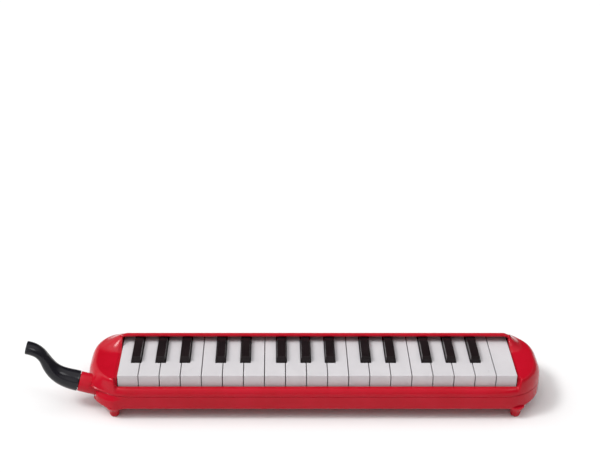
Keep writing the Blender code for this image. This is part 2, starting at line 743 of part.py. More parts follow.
def mouthpiece_path():
    """The bent part's middle line, from the shoulder to the tip, as two Bezier curves across X and Z."""
    start = SOCKET_AT + SOCKET_OUT * (SOCKET_END + GAP)
    first = [(0, 0), (-12.5, 3.6), (-21, 6.5), (-27, 18.5)]
    second = [(-27, 18.5), (-31, 26.5), (-32.5, 34.5), (-46.2, 37.3)]
    points = []
    for corners, shares in ((first, range(0, 7)), (second, range(1, 7))):
        corners = [start + Vector((x * MM, 0, z * MM)) for x, z in corners]
        points += [bezier(*corners, k / 6) for k in shares]
    return points


def mouthpiece(material):
    path = mouthpiece_path()
    ahead = [(b - a).normalized() for a, b in zip(path, path[1:])]
    along = [SOCKET_OUT] + [(a + b).normalized() for a, b in zip(ahead, ahead[1:])] + [ahead[-1]]
    ups = [Vector((0, 1, 0)).cross(direction) for direction in along]
    heights = [9.8, 9.7, 9.3, 8.7, 8.0, 7.2, 6.4, 5.7, 5.2, 5.2, 5.3, 5.5, 5.6]
    widths = [9.8, 9.7, 9.3, 8.9, 8.4, 8.0, 7.6, 7.4, 7.3, 7.3, 7.4, 7.6, 7.7]
    wall, bore = 1.7 * MM, 4.4 * MM
    up = ups[0]
    spigot = [(5.9, 2), (6.3, 2.6), (6.3, 7), (5.5, 7), (5.5, 9), (6.4, 9), (6.4, 16.3)]
    centres = [SOCKET_AT + SOCKET_OUT * t * MM for _, t in spigot] + path
    normals = [up] * len(spigot) + ups
    sizes = [(r * MM, r * MM) for r, _ in spigot] + [(w * MM, h * MM) for w, h in zip(widths, heights)]
    inner = [(w * MM - wall, h * MM - wall) for w, h in zip(widths, heights)]
    inner[:2] = [(bore, bore), (6 * MM, 6 * MM)]
    centres += path[::-1] + [SOCKET_AT + SOCKET_OUT * SPIGOT_END]
    normals += ups[::-1] + [up]
    sizes += inner[::-1] + [(bore, bore)]
    return place("mouthpiece", tube_mesh("mouthpiece", centres, normals, sizes, 12), material, 50)


def mouthpiece_seal(material):
    """The ring in the spigot's groove."""
    angles = [math.pi / 3 * k for k in range(6)]
    profile = [((6.6 + 0.75 * math.cos(a)) * MM, (8 + 0.75 * math.sin(a)) * MM) for a in angles]
    return turned("mouthpiece_seal", profile, SOCKET_AT, SOCKET_OUT, material)


def inlet_duct(material):
    """The soft tube that carries breath from the socket's inner end to the wind chest's end wall."""
    start = SOCKET_AT - SOCKET_OUT * 10.3 * MM
    route = [start, start - SOCKET_OUT * 5 * MM]
    route += [Vector((x * MM, y * MM, z * MM)) for x, y, z in (
        (-190.8, -17, 16.2), (-190.8, -8, 16.8), (-191, 2, 17.2), (-190.7, 9.5, 17.3), (-185.1, 9.5, 17.3),
    )]
    curve = bpy.data.curves.new("inlet_duct", "CURVE")
    curve.dimensions = "3D"
    curve.bevel_depth = 3.7 * MM
    curve.bevel_resolution = 2
    curve.resolution_u = 2
    spline = curve.splines.new("NURBS")
    spline.points.add(len(route) - 1)
    for point, place_at in zip(spline.points, route):
        point.co = (*place_at, 1)
    spline.use_endpoint_u = True
    spline.order_u = 3
    guide = bpy.data.objects.new("inlet_duct_route", curve)
    bpy.context.scene.collection.objects.link(guide)
    graph = bpy.context.evaluated_depsgraph_get()
    mesh = bpy.data.meshes.new_from_object(guide.evaluated_get(graph))
    bpy.data.objects.remove(guide)
    mesh.name = "inlet_duct"
    duct = place("inlet_duct", mesh, material)
    solidify = duct.modifiers.new("wall", "SOLIDIFY")
    solidify.thickness = 0.9 * MM
    solidify.offset = 0
    return duct


# ---------------------------------------------------------------- water valve


def drain_valve(button_material, metal, rubber):
    at = (DRAIN_X, 0, DRAIN_Z)
    along = (0, 1, 0)
    button = [
        (1.3, 43.5), (3, 43.5), (3, 45), (4, 45), (4, 46.7), (3, 46.7), (3, 50.4), (2.4, 51), (0, 51),
        (0, 48), (1.3, 48),
    ]
    pin = [(0, 31.8), (2.2, 31.8), (2.2, 32.9), (1, 32.9), (1, 47.7), (0, 47.7)]
    seal = [(1.3, 33.2), (2.4, 33.2), (2.4, 34.7), (1.3, 34.7)]
    for name, profile, material in (
        ("drain_button", button, button_material),
        ("drain_valve_pin", pin, metal),
        ("drain_valve_seal", seal, rubber),
    ):
        turned(name, [(r * MM, y * MM) for r, y in profile], at, along, material)
    drain_spring(metal)


def drain_spring(material):
    turns, per_turn, radius = 3, 8, 2.4 * MM
    start, end = CHEST_REAR + 0.6 * MM, 42.9 * MM
    count = turns * per_turn
    curve = bpy.data.curves.new("drain_spring", "CURVE")
    curve.dimensions = "3D"
    curve.bevel_depth = 0.28 * MM
    curve.bevel_resolution = 0
    curve.use_fill_caps = True
    spline = curve.splines.new("POLY")
    spline.points.add(count)
    for k, point in enumerate(spline.points):
        a = 2 * math.pi * k / per_turn
        y = start + (end - start) * k / count
        point.co = (DRAIN_X + radius * math.cos(a), y, DRAIN_Z + radius * math.sin(a), 1)
    spring = bpy.data.objects.new("drain_spring", curve)
    curve.materials.append(material)
    PARTS.objects.link(spring)


# ---------------------------------------------------------------- hand strap


def strap_screw_places():
    return (STRAP_LEFT + STRAP_SCREW_INSET, STRAP_RIGHT - STRAP_SCREW_INSET)


def hand_strap(material):
    """A slack band under the body, held at both ends and hanging clear of the case between them."""
    shelf = 2 * STRAP_SCREW_INSET
    half = [(STRAP_LEFT, STRAP_END_TOP), (STRAP_LEFT + shelf, STRAP_END_TOP)]
    for k in range(1, 5):
        drop = smooth_step(k, 0, 4) * (STRAP_END_TOP - STRAP_SAG_TOP)
        half.append((STRAP_LEFT + shelf + STRAP_BEND * k / 4, STRAP_END_TOP - drop))
    top = half + [(STRAP_LEFT + STRAP_RIGHT - x, z) for x, z in reversed(half)]
    outline = top + [(x, z - STRAP_THICK) for x, z in reversed(top)]
    front, rear = STRAP_Y - STRAP_HALF_WIDTH, STRAP_Y + STRAP_HALF_WIDTH
    strap = prism("hand_strap", outline, "XZ", front, rear, material)
    places = strap_screw_places()
    holes = cylinders("strap_holes", [((x, STRAP_Y, 0), (x, STRAP_Y, 9 * MM), 1.5 * MM) for x in places])
    cut(strap, holes)
    return holes


def strap_bracket(side, x, holes, material):
    half_x, half_y = 4.5 * MM, STRAP_HALF_WIDTH + 1.5 * MM
    low, high = (x - half_x, STRAP_Y - half_y, 4.4 * MM), (x + half_x, STRAP_Y + half_y, 5.9 * MM)
    bracket = boxes(f"strap_bracket_{side}", [(low, high)], material)
    cut(bracket, holes)


def strap_screw(side, x, material):
    profile = [(0, 2.6), (1.8, 2.6), (2.7, 3.4), (2.7, 4.1), (1.2, 4.1), (1.2, 15), (0, 16)]
    profile = [(r * MM, z * MM) for r, z in profile]
    turned(f"strap_screw_{side}", profile, (x, STRAP_Y, 0), (0, 0, 1), material)


# ---------------------------------------------------------------- assembly


def main():
    red = make_material("red_case", (0.62, 0.012, 0.03), 0.22)
    ivory = make_material("white_key", (0.82, 0.82, 0.84), 0.25)
    ebony = make_material("black_key", (0.012, 0.011, 0.013), 0.2)
    black = make_material("black_mouthpiece", (0.014, 0.014, 0.018), 0.3)
    chest_plastic = make_material("chest_plastic", (0.75, 0.74, 0.7), 0.5)
    steel = make_material("steel", (0.6, 0.6, 0.62), 0.3, 1.0)
    brass = make_material("reed_brass", (0.75, 0.58, 0.28), 0.35, 1.0)
    rubber = make_material("rubber", (0.03, 0.03, 0.03), 0.7)
    felt = make_material("felt", (0.1, 0.25, 0.15), 0.95)
    webbing = make_material("strap_webbing", (0.02, 0.02, 0.022), 0.85)

    keys = key_layout()
    underside = key_underside_cutter(HALF_LENGTH)
    clearances = post_clearances(keys)
    for key in keys:
        if key["black"]:
            black_key(key, underside, ebony)
        else:
            white_key(key, underside, clearances, ivory)

    upper, lower = upper_case(red), lower_case(red)
    hole = socket_hole()
    join(upper, socket_collar("upper_collar", PARTING + SEAM, CHEEK_TOP))
    join(lower, socket_collar("lower_collar", UNDERSIDE, PARTING - SEAM))
    cut(upper, hole)
    cut(lower, hole)
    for index, (x, y) in enumerate(CASE_SCREWS, 1):
        case_screw(index, x, y, steel)

    wind_chest(keys, chest_plastic)
    chest_cover(chest_plastic)
    chest_gasket(rubber)
    half = len(keys) // 2
    split = (keys[half - 1]["middle"] + keys[half]["middle"]) / 2
    end = CHEST_X - 3 * MM
    reed_plate("reed_plate_low", keys[:half], 0, -end, split - GAP / 2, brass)
    reed_plate("reed_plate_high", keys[half:], half, split + GAP / 2, end, brass)
    pivot_shaft(steel)
    key_spring_comb(keys, steel)
    key_guide_rail(keys, chest_plastic)
    key_stop_felt(felt)

    mouthpiece_socket(red)
    inlet_duct(rubber)
    mouthpiece(black)
    mouthpiece_seal(rubber)
    drain_valve(black, steel, rubber)

    holes = hand_strap(webbing)
    for side, x in zip(("left", "right"), strap_screw_places()):
        strap_bracket(side, x, holes, steel)
        strap_screw(side, x, steel)

    body = bpy.data.objects.new("melodica_body", None)
    bpy.context.scene.collection.objects.link(body)
    body.location = (BODY_OFFSET, 0, -GROUND)
    for obj in [*PARTS.objects, *CUTTERS.objects]:
        obj.parent = body


clear_scene()
PARTS = make_collection("melodica")
CUTTERS = make_collection("cutters", hidden=True)
main()
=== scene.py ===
"""The looks of a 32-key melodica with a curved mouthpiece.

A glossy red case, ivory and ebony keys, and soft studio light.
"""

import json
import math

import bmesh
import bpy
from mathutils import Matrix, Vector


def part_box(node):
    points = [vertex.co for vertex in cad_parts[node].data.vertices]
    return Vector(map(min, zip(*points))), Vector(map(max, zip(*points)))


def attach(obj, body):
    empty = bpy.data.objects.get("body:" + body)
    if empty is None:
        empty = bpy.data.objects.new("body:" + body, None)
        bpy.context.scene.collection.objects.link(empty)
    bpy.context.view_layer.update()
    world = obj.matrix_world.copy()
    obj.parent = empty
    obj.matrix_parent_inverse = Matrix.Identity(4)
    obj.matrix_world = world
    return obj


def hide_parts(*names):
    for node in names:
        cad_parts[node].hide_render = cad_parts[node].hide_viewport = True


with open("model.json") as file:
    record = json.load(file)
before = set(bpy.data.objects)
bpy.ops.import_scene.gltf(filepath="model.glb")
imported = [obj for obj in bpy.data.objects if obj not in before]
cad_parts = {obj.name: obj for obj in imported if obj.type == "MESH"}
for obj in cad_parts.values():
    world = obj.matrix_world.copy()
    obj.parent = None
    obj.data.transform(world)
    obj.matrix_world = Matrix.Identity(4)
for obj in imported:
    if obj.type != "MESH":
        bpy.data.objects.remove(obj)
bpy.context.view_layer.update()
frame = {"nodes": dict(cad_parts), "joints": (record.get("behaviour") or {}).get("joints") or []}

MM = 0.001

# ---------------------------------------------------------------- places, from the frame

NODES = frame["nodes"]
WHITE_KEYS = sorted(name for name in NODES if name.startswith("white_key"))
BLACK_KEYS = sorted(name for name in NODES if name.startswith("black_key"))
FIRST_KEY, LAST_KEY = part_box("white_key_F3"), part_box("white_key_C6")
UPPER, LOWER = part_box("upper_case"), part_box("lower_case")
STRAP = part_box("hand_strap")
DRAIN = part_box("drain_button")
MIDDLE = (FIRST_KEY[0].x + LAST_KEY[1].x) / 2
SEAM = 0.15 * MM
PARTING = LOWER[1].z + SEAM
RIDGE_TOP = UPPER[1].z
SLIDE = next(joint for joint in frame["joints"] if joint["name"] == "mouthpiece_slide")
SOCKET_AT = Vector(SLIDE["pos_m"])
SOCKET_OUT = Vector(SLIDE["axis"]).normalized()
UP = Vector((0, 0, 1))
REARWARD = Vector((0, 1, 0))

# ---------------------------------------------------------------- the case, from the keyboard's middle

HALF_LENGTH = 214.2 * MM
END_SHIFT = -1.6 * MM
HALF_DEPTH = UPPER[1].y
CORNER = 42 * MM
WALL = 2 * MM
SEAM_ROUND = 0.35 * MM
SEAM_BAND = 0.45 * MM
UNDERSIDE = 10.5 * MM
FLOOR_ROUND = 3.2 * MM
FLOOR_REACH = 22 * MM
SHOULDER = 8 * MM
LIP_SHOULDER = 3.8 * MM
REAR_SHOULDER = 11.5 * MM
CHEEK_TOP = 39.5 * MM
CHEEK_FALL = 0.08
CHEEK_CROWN = 1.2 * MM
LIP_TOP = 32.5 * MM
RIDGE_Y = 20.5 * MM
RIDGE_ROUND = 1.6 * MM
REAR_SLOPE = 0.66
WINDOW_X = 185.7 * MM
WINDOW_FRONT = -41.5 * MM
WINDOW_REAR = 16.5 * MM
WINDOW_ROUND = 0.7 * MM
WINDOW_MIDDLE = (WINDOW_FRONT + WINDOW_REAR) / 2
HOOD_FADE_LEFT = 23 * MM
HOOD_FADE_RIGHT = 15 * MM
FOOT_X = 187.9 * MM
FOOT_Y = 41 * MM
FOOT_FLARE = 15 * MM
FOOT_DROP = 4.4 * MM
REAR_SWELL = 2.6 * MM
SOCKET_SWELL = 3.6 * MM
SWELL_FADE = 6 * MM
SWELL_AT_SEAM = 0.25
COLLAR_REACH = 5.4 * MM
LOWER_COLLAR_REACH = -2.5 * MM
COLLAR_NOTCH = 1.6 * MM
COLLAR_RADIUS = 23 * MM
SOCKET_RADIUS = 9.5 * MM
SOCKET_DEPTH = 14 * MM
SOCKET_OVERLAP = 1.2 * MM
SEAT_RADIUS = 3.4 * MM
STRAP_HOLE_RADIUS = 1.5 * MM
DRAIN_HOLE_RADIUS = 3.6 * MM
DRAIN_AT = Vector(((DRAIN[0].x + DRAIN[1].x) / 2, 0, (DRAIN[0].z + DRAIN[1].z) / 2))


def smooth_step(value, low, high):
    t = min(max((value - low) / (high - low), 0), 1)
    return t * t * (3 - 2 * t)


def soft_max(a, b, width):
    """The greater of two values, with the corner between them rounded over width."""
    h = max(width - abs(a - b), 0) / width
    return max(a, b) + h * h * width / 4


# ---------------------------------------------------------------- pieces and their meshes


def make_piece(name, mesh, body, material, hides=(), sharp=35):
    """A visible piece that rides on a body and stands for the CAD nodes that it hides."""
    mesh.materials.clear()
    mesh.materials.append(material)
    mesh.shade_smooth()
    mesh.set_sharp_from_angle(angle=math.radians(sharp))
    piece = bpy.data.objects.new(name, mesh)
    bpy.context.scene.collection.objects.link(piece)
    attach(piece, body)
    if hides:
        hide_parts(*hides)
    return piece


def mesh_from(bm, name, recalculate=True):
    if recalculate:
        bmesh.ops.recalc_face_normals(bm, faces=bm.faces)
    mesh = bpy.data.meshes.new(name)
    bm.to_mesh(mesh)
    bm.free()
    return mesh


def add_rings(bm, rings, closed=False):
    """A surface through rings of equally many points, joined end to end when closed."""
    rows = [[bm.verts.new(point) for point in ring] for ring in rings]
    pairs = list(zip(rows, rows[1:]))
    if closed:
        pairs.append((rows[-1], rows[0]))
    for lower, upper in pairs:
        for k in range(len(lower)):
            after = (k + 1) % len(lower)
            bm.faces.new((lower[k], lower[after], upper[after], upper[k]))
    return rows


def close_ends(bm, rows):
    bm.faces.new(rows[0])
    bm.faces.new(rows[-1])


def circle(centre, across, up, radius_across, radius_up, steps):
    angles = [2 * math.pi * k / steps for k in range(steps)]
    return [centre + across * radius_across * math.cos(a) + up * radius_up * math.sin(a) for a in angles]


def square_to(along):
    """Two directions at right angles to along and to each other."""
    across = Vector((0, 1, 0)) if abs(along.y) < 0.9 else Vector((1, 0, 0))
    up = along.cross(across).normalized()
    return up.cross(along).normalized(), up


def revolve(name, profile, at, along, steps=48, closed=False):
    """A mesh turned about a line. Its profile is (radius, distance) pairs in mm, from end to end."""
    across, up = square_to(Vector(along))
    bm = bmesh.new()
    rings = []
    for radius, distance in profile:
        centre = Vector(at) + Vector(along) * distance * MM
        rings.append(circle(centre, across, up, radius * MM, radius * MM, steps))
    rows = add_rings(bm, rings, closed)
    if not closed:
        close_ends(bm, rows)
    return mesh_from(bm, name)


def rounded(profile, radius, steps):
    """An open outline of (u, v) points, with each inner corner rounded by a smooth blend."""
    points = [Vector(point) for point in profile]
    made = [points[0]]
    for before, corner, after in zip(points, points[1:], points[2:]):
        reach = min(radius, (before - corner).length / 2, (after - corner).length / 2)
        start = corner + (before - corner).normalized() * reach
        end = corner + (after - corner).normalized() * reach
        for k in range(steps + 1):
            t = k / steps
            made.append(start * (1 - t) ** 2 + corner * 2 * t * (1 - t) + end * t * t)
    return made + [points[-1]]


def refined(node, width):
    """A copy of a CAD node's mesh with its flat faces made whole and its sharp edges rounded."""
    bm = bmesh.new()
    bm.from_mesh(NODES[node].data)
    bmesh.ops.remove_doubles(bm, verts=bm.verts, dist=1e-6)
    bmesh.ops.dissolve_limit(bm, angle_limit=math.radians(1), verts=bm.verts, edges=bm.edges)
    bm.normal_update()
    edges = [
        edge for edge in bm.edges
        if len(edge.link_faces) == 2 and edge.calc_face_angle() > math.radians(30)
    ]
    bmesh.ops.bevel(
        bm, geom=edges, offset=width, offset_type="OFFSET", segments=3, profile=0.5,
        affect="EDGES", clamp_overlap=True,
    )
    return mesh_from(bm, node + "_skin", recalculate=False)


# ---------------------------------------------------------------- case


def quarter_stations():
    """The outline's stations from the middle of the front edge to the middle of the right end.

    Each is the point on the outline, the way out of the case there, the matching point on the window's edge,
    and the way that the window grows there.
    """
    straight = HALF_LENGTH - CORNER
    places = [(straight * k / 28, -HALF_DEPTH, 0.0, -1.0) for k in range(28)]
    for degrees in range(91):
        a = math.radians(degrees)
        x = straight + CORNER * math.sin(a)
        y = CORNER - HALF_DEPTH - CORNER * math.cos(a)
        places.append((x, y, math.sin(a), -math.cos(a)))
    places += [(HALF_LENGTH, (CORNER - HALF_DEPTH) * k / 4, 1.0, 0.0) for k in (3, 2, 1, 0)]
    stations, corner_y = [], None
    for x, y, out_x, out_y in places:
        inner = x - LIP_SHOULDER * out_x
        if inner < WINDOW_X:
            stations.append(((x, y), (out_x, out_y), (inner, WINDOW_FRONT), (0, -1)))
            continue
        if corner_y is None:
            corner_y = y
            stations.append(((x, y), (out_x, out_y), (WINDOW_X, WINDOW_FRONT), (1, -1)))
            continue
        share = (y - corner_y) / (0 - corner_y)
        along = WINDOW_FRONT + (WINDOW_MIDDLE - WINDOW_FRONT) * share
        stations.append(((x, y), (out_x, out_y), (WINDOW_X, along), (1, 0)))
    return stations


def mirrored(station, across_x):
    (x, y), (out_x, out_y), (wx, wy), (grow_x, grow_y) = station
    if across_x:
        return (-x, y), (-out_x, out_y), (-wx, wy), (-grow_x, grow_y)
    return (x, -y), (out_x, -out_y), (wx, 2 * WINDOW_MIDDLE - wy), (grow_x, -grow_y)


def all_stations():
    """Every station round the case. The rear left corner stands a little fuller than the others."""
    quarter = quarter_stations()
    right = quarter + [mirrored(station, False) for station in reversed(quarter[:-1])]
    made = []
    for station in right + [mirrored(station, True) for station in reversed(right[1:-1])]:
        (x, y), (out_x, out_y), window, grow = station
        if out_x < 0 < out_y:
            swell = REAR_SWELL * (2 * out_x * out_y) ** 2
            x, y = x + out_x * swell, y + out_y * swell
        made.append(((x, y), (out_x, out_y), window, grow))
    return made


STATIONS = all_stations()


def outline_ring(inset):
    """The outline drawn in by one inset, or by an inset for each station."""
    insets = inset if isinstance(inset, list) else [inset] * len(STATIONS)
    return [
        (x - out_x * d, y - out_y * d)
        for ((x, y), (out_x, out_y), _, _), d in zip(STATIONS, insets)
    ]


def window_ring(grow):
    return [(x + grow_x * grow, y + grow_y * grow) for _, _, (x, y), (grow_x, grow_y) in STATIONS]


def top_level(x, y):
    """The height of the case's top: low lip before the keys, cheeks beside them, sloping hood behind."""
    beside = smooth_step(abs(x), WINDOW_X - 0.2 * MM, WINDOW_X + 3.4 * MM)
    lip = smooth_step(-y, 37.5 * MM, 41.4 * MM) * (1 - beside)
    hood_end = WINDOW_X + (HOOD_FADE_LEFT if x < 0 else HOOD_FADE_RIGHT)
    hood = 1 - smooth_step(abs(x), WINDOW_X - 5 * MM, hood_end)
    hood *= smooth_step(y, 1 * MM, WINDOW_REAR)
    behind = soft_max(y - RIDGE_Y, 0, RIDGE_ROUND)
    slope = RIDGE_TOP - REAR_SLOPE * behind
    crown = CHEEK_CROWN * beside * (1 - smooth_step(abs(x), WINDOW_X + 4 * MM, HALF_LENGTH))
    level = CHEEK_TOP + (LIP_TOP - CHEEK_TOP) * lip + crown - CHEEK_FALL * behind
    return level + (slope - level) * hood


def swell(point):
    """How far the case fills out at the front left corner, below the socket and towards the foot.

    The turn is the angle round the corner, from the left end at 0 degrees to the front face at 90.
    """
    centre_x, centre_y = MIDDLE + END_SHIFT - HALF_LENGTH + CORNER, CORNER - HALF_DEPTH
    away = Vector((point.x - centre_x, point.y - centre_y, 0))
    if away.x >= 0 or away.y >= 0:
        return Vector((0, 0, 0))
    way = away.normalized()
    if point.z < PARTING:
        share = SWELL_AT_SEAM + (1 - SWELL_AT_SEAM) * smooth_step(PARTING - point.z, 0, SWELL_FADE)
    else:
        share = SWELL_AT_SEAM * (1 - smooth_step(point.z - PARTING, 0, SWELL_FADE))
    turn = math.degrees(math.atan2(-way.y, -way.x))
    return way * SOCKET_SWELL * share * smooth_step(turn, 30, 64) * (1 - smooth_step(turn, 66, 88))


def gather(point):
    """How far the case reaches out along the socket's axis to gather round the socket."""
    offset = point - SOCKET_AT
    along = offset.dot(SOCKET_OUT)
    radius = (offset - SOCKET_OUT * along).length
    rim = COLLAR_REACH if point.z > PARTING else LOWER_COLLAR_REACH
    rim -= COLLAR_NOTCH * (1 - smooth_step(abs(point.z - PARTING), 0, 5 * MM))
    near = 1 - smooth_step(radius, SOCKET_RADIUS, COLLAR_RADIUS)
    return SOCKET_OUT * soft_max(rim - along, 0, 3 * MM) * near ** 1.5


def reach_out(point):
    return swell(point) + gather(point)


def foot_places():
    return [Vector((MIDDLE + END_SHIFT + x, y, 0)) for x in (-FOOT_X, FOOT_X) for y in (-FOOT_Y, FOOT_Y)]


def settled(point):
    """The point lowered where the case's floor swells towards a foot."""
    for foot in foot_places():
        radius = math.hypot(point.x - foot.x, point.y - foot.y)
        if radius < FOOT_FLARE:
            share = (1 - radius / FOOT_FLARE) ** 2.2 * (1 - smooth_step(point.z, UNDERSIDE, PARTING))
            point = point - UP * FOOT_DROP * share
    return point


def case_points(ring, heights):
    """Points of one ring at its heights, with the case's ends a little further to the left."""
    made = []
    for (x, y), z in zip(ring, heights):
        x += END_SHIFT * smooth_step(abs(x), WINDOW_X + 2 * MM, HALF_LENGTH)
        made.append(Vector((MIDDLE + x, y, z)))
    return made


def moved(points, pushes, share=1.0):
    """The points pushed out, but never past the plane of the front face."""
    made = [point + push * share for point, push in zip(points, pushes)]
    for point in made:
        point.y = max(point.y, -HALF_DEPTH)
    return made


def pushed(points):
    return moved(points, [reach_out(point) for point in points])


def seam_rings(edge, towards):
    """The rounded edge where the two halves of the case meet, as (inset, height) pairs."""
    pairs = []
    for k in range(4):
        a = math.pi / 2 * k / 3
        pairs.append((SEAM_ROUND * (1 - math.sin(a)), edge + towards * SEAM_ROUND * (1 - math.cos(a))))
    return pairs


def open_for_socket(bm):
    """Takes away the faces that would lie inside the socket."""
    inside = []
    for face in bm.faces:
        offset = face.calc_center_median() - SOCKET_AT
        along = offset.dot(SOCKET_OUT)
        if along > -SOCKET_DEPTH and (offset - SOCKET_OUT * along).length < SOCKET_RADIUS - SOCKET_OVERLAP:
            inside.append(face)
    bmesh.ops.delete(bm, geom=inside, context="FACES")


def thicken(piece):
    """Gives a skin the case's wall, towards the inside."""
    solidify = piece.modifiers.new("wall", "SOLIDIFY")
    solidify.thickness = WALL
    solidify.offset = -1


def apply_all(piece):
    bpy.context.view_layer.objects.active = piece
    for modifier in list(piece.modifiers):
        bpy.ops.object.modifier_apply(modifier=modifier.name)


def cut(piece, mesh):
    """Cuts the shape of a mesh out of a piece."""
    cutter = bpy.data.objects.new(mesh.name, mesh)
    bpy.context.scene.collection.objects.link(cutter)
    modifier = piece.modifiers.new("cut", "BOOLEAN")
    modifier.object = cutter
    apply_all(piece)
    bpy.data.objects.remove(cutter)


def carve(piece, rows):
    """Cuts round holes in a piece. Each row gives a hole's two ends and its radius."""
    bm = bmesh.new()
    for start, end, radius in rows:
        across, up = square_to((end - start).normalized())
        rings = [circle(point, across, up, radius, radius, 40) for point in (start, end)]
        close_ends(bm, add_rings(bm, rings))
    cut(piece, mesh_from(bm, piece.name + "_holes"))
    piece.data.shade_smooth()
    piece.data.set_sharp_from_angle(angle=math.radians(40))


def upper_case(material):
    """The upper shell: its seam, sides, shoulder and top, then the window's edge."""
    bottom = PARTING + SEAM
    base = bottom + SEAM_ROUND + SEAM_BAND
    widths = []
    for _, (out_x, out_y), _, _ in STATIONS:
        straight = REAR_SHOULDER if out_y > 0 else LIP_SHOULDER
        widths.append(straight + (SHOULDER - straight) * smooth_step(abs(out_x), 0.5, 0.95))
    rings = []
    for inset, height in seam_rings(bottom, 1):
        rings.append(pushed(case_points(outline_ring(inset), [height] * len(STATIONS))))
    for k in range(17):
        a = math.pi / 2 * k / 16
        ring = outline_ring([width * (1 - math.cos(a)) for width in widths])
        points = case_points(ring, [base + (top_level(x, y) - base) * math.sin(a) for x, y in ring])
        rings.append(pushed(points))
    pushes = [reach_out(point) for point in points]
    outer, inner = ring, window_ring(WINDOW_ROUND)
    for share in (0.08, 0.18, 0.3, 0.42, 0.54, 0.64, 0.72, 0.78, 0.82, 0.85, 0.88, 0.91, 0.94, 0.97, 1):
        ring = [(a + (c - a) * share, b + (d - b) * share) for (a, b), (c, d) in zip(outer, inner)]
        points = case_points(ring, [top_level(x, y) for x, y in ring])
        rings.append(moved(points, pushes, 1 - smooth_step(share, 0, 0.8)))
    tops = [top_level(x, y) for x, y in inner]
    for k in range(1, 6):
        a = math.pi / 2 * k / 5
        drop = WINDOW_ROUND * (1 - math.cos(a))
        rings.append(case_points(window_ring(WINDOW_ROUND * (1 - math.sin(a))), [top - drop for top in tops]))
    beside = [abs(x) > WINDOW_X - 0.1 * MM for x, _ in window_ring(0)]
    for share in (0.5, 1):
        bottoms = [
            top - share * (WALL + (max(top - CHEEK_TOP, 0) if side else 0)) for top, side in zip(tops, beside)
        ]
        rings.append(case_points(window_ring(0), bottoms))
    bm = bmesh.new()
    add_rings(bm, rings)
    open_for_socket(bm)
    mesh = mesh_from(bm, "case_top")
    thicken(make_piece("case_top", mesh, "case", material, ["upper_case"], 50))


def lower_case(material):
    """The lower shell: its seam, sides and floor, with recesses and holes for screws and the drain button."""
    edge = PARTING - SEAM
    rings = []
    for inset, height in seam_rings(edge, -1):
        rings.append(pushed(case_points(outline_ring(inset), [height] * len(STATIONS))))
    wall_low = UNDERSIDE + FLOOR_ROUND
    for k in range(1, 10):
        height = edge - SEAM_ROUND + (wall_low - edge + SEAM_ROUND) * k / 9
        rings.append(pushed(case_points(outline_ring(0), [height] * len(STATIONS))))
    for k in range(1, 9):
        a = math.pi / 2 * k / 8
        height = UNDERSIDE + FLOOR_ROUND * (1 - math.sin(a))
        points = case_points(outline_ring(FLOOR_ROUND * (1 - math.cos(a))), [height] * len(STATIONS))
        rings.append(pushed(points))
    pushes = [reach_out(point) for point in points]
    steps = 24
    for k in range(1, steps + 1):
        ring = outline_ring(FLOOR_ROUND + (FLOOR_REACH - FLOOR_ROUND) * k / steps)
        points = case_points(ring, [UNDERSIDE] * len(STATIONS))
        rings.append(moved(points, pushes, 1 - smooth_step(k, 0, steps)))
    rings = [[settled(point) for point in ring] for ring in rings]
    bm = bmesh.new()
    rows = add_rings(bm, rings)
    bm.faces.new(rows[-1])
    open_for_socket(bm)
    mesh = mesh_from(bm, "case_bottom")
    piece = make_piece("case_bottom", mesh, "case", material, ["lower_case"], 50)
    thicken(piece)
    holes = []
    for index in range(1, 5):
        at = foot_of(f"case_screw_{index}")
        holes.append((at - UP * 4 * MM, at + UP * 2.1 * MM, SEAT_RADIUS))
    for side in ("left", "right"):
        at = foot_of("strap_screw_" + side)
        holes.append((at, at + UP * 14 * MM, STRAP_HOLE_RADIUS))
    holes.append((DRAIN_AT + REARWARD * 45 * MM, DRAIN_AT + REARWARD * 51 * MM, DRAIN_HOLE_RADIUS))
    carve(piece, holes)


def foot_of(node):
    """The lowest point on the middle line of an upright node."""
    low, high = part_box(node)
    return Vector(((low.x + high.x) / 2, (low.y + high.y) / 2, low.z))


def screw_seats(material):
    """The four cups inside the lower case that the case screws stand in."""
    profile = [(3.4, 1.2), (3.4, 2.1), (1.7, 2.1), (1.7, 4), (4.7, 4), (4.7, 1.2)]
    for index in range(1, 5):
        name = f"case_seat_{index}"
        mesh = revolve(name, profile, foot_of(f"case_screw_{index}"), UP, 40, closed=True)
        make_piece(name, mesh, "case", material)


def case_feet(material):
    """Four stout tapering feet with rounded ends."""
    profile = [
        (0.1, 0), (3.0, 0.05), (3.7, 0.3), (4.2, 0.75), (4.5, 1.4), (4.8, 2.7), (5.0, 4.3), (5.2, 5.6),
        (5.6, 6.8), (6.2, 7.9), (7.1, 9.1), (7.9, 10.3), (7.9, 12), (2, 12.2),
    ]
    for index, foot in enumerate(foot_places(), 1):
        mesh = revolve(f"case_foot_{index}", profile, foot, UP)
        make_piece(f"case_foot_{index}", mesh, "case", material, sharp=60)


# ---------------------------------------------------------------- materials


def add_node(tree, kind, settings=None, **inputs):
    """A shader node with its settings and inputs. An input is a value, or a socket to link.

    An underscore in an input's name stands for a space.
    """
    made = tree.nodes.new(kind)
    for name, value in (settings or {}).items():
        setattr(made, name, value)
    for name, value in inputs.items():
        socket = made.inputs[name.replace("_", " ")]
        if isinstance(value, bpy.types.NodeSocket):
            tree.links.new(value, socket)
        else:
            socket.default_value = value
    return made


def noise(tree, place, scale, detail=3.0, roughness=0.55):
    made = add_node(tree, "ShaderNodeTexNoise", Vector=place, Scale=scale, Detail=detail, Roughness=roughness)
    return made.outputs["Fac"]


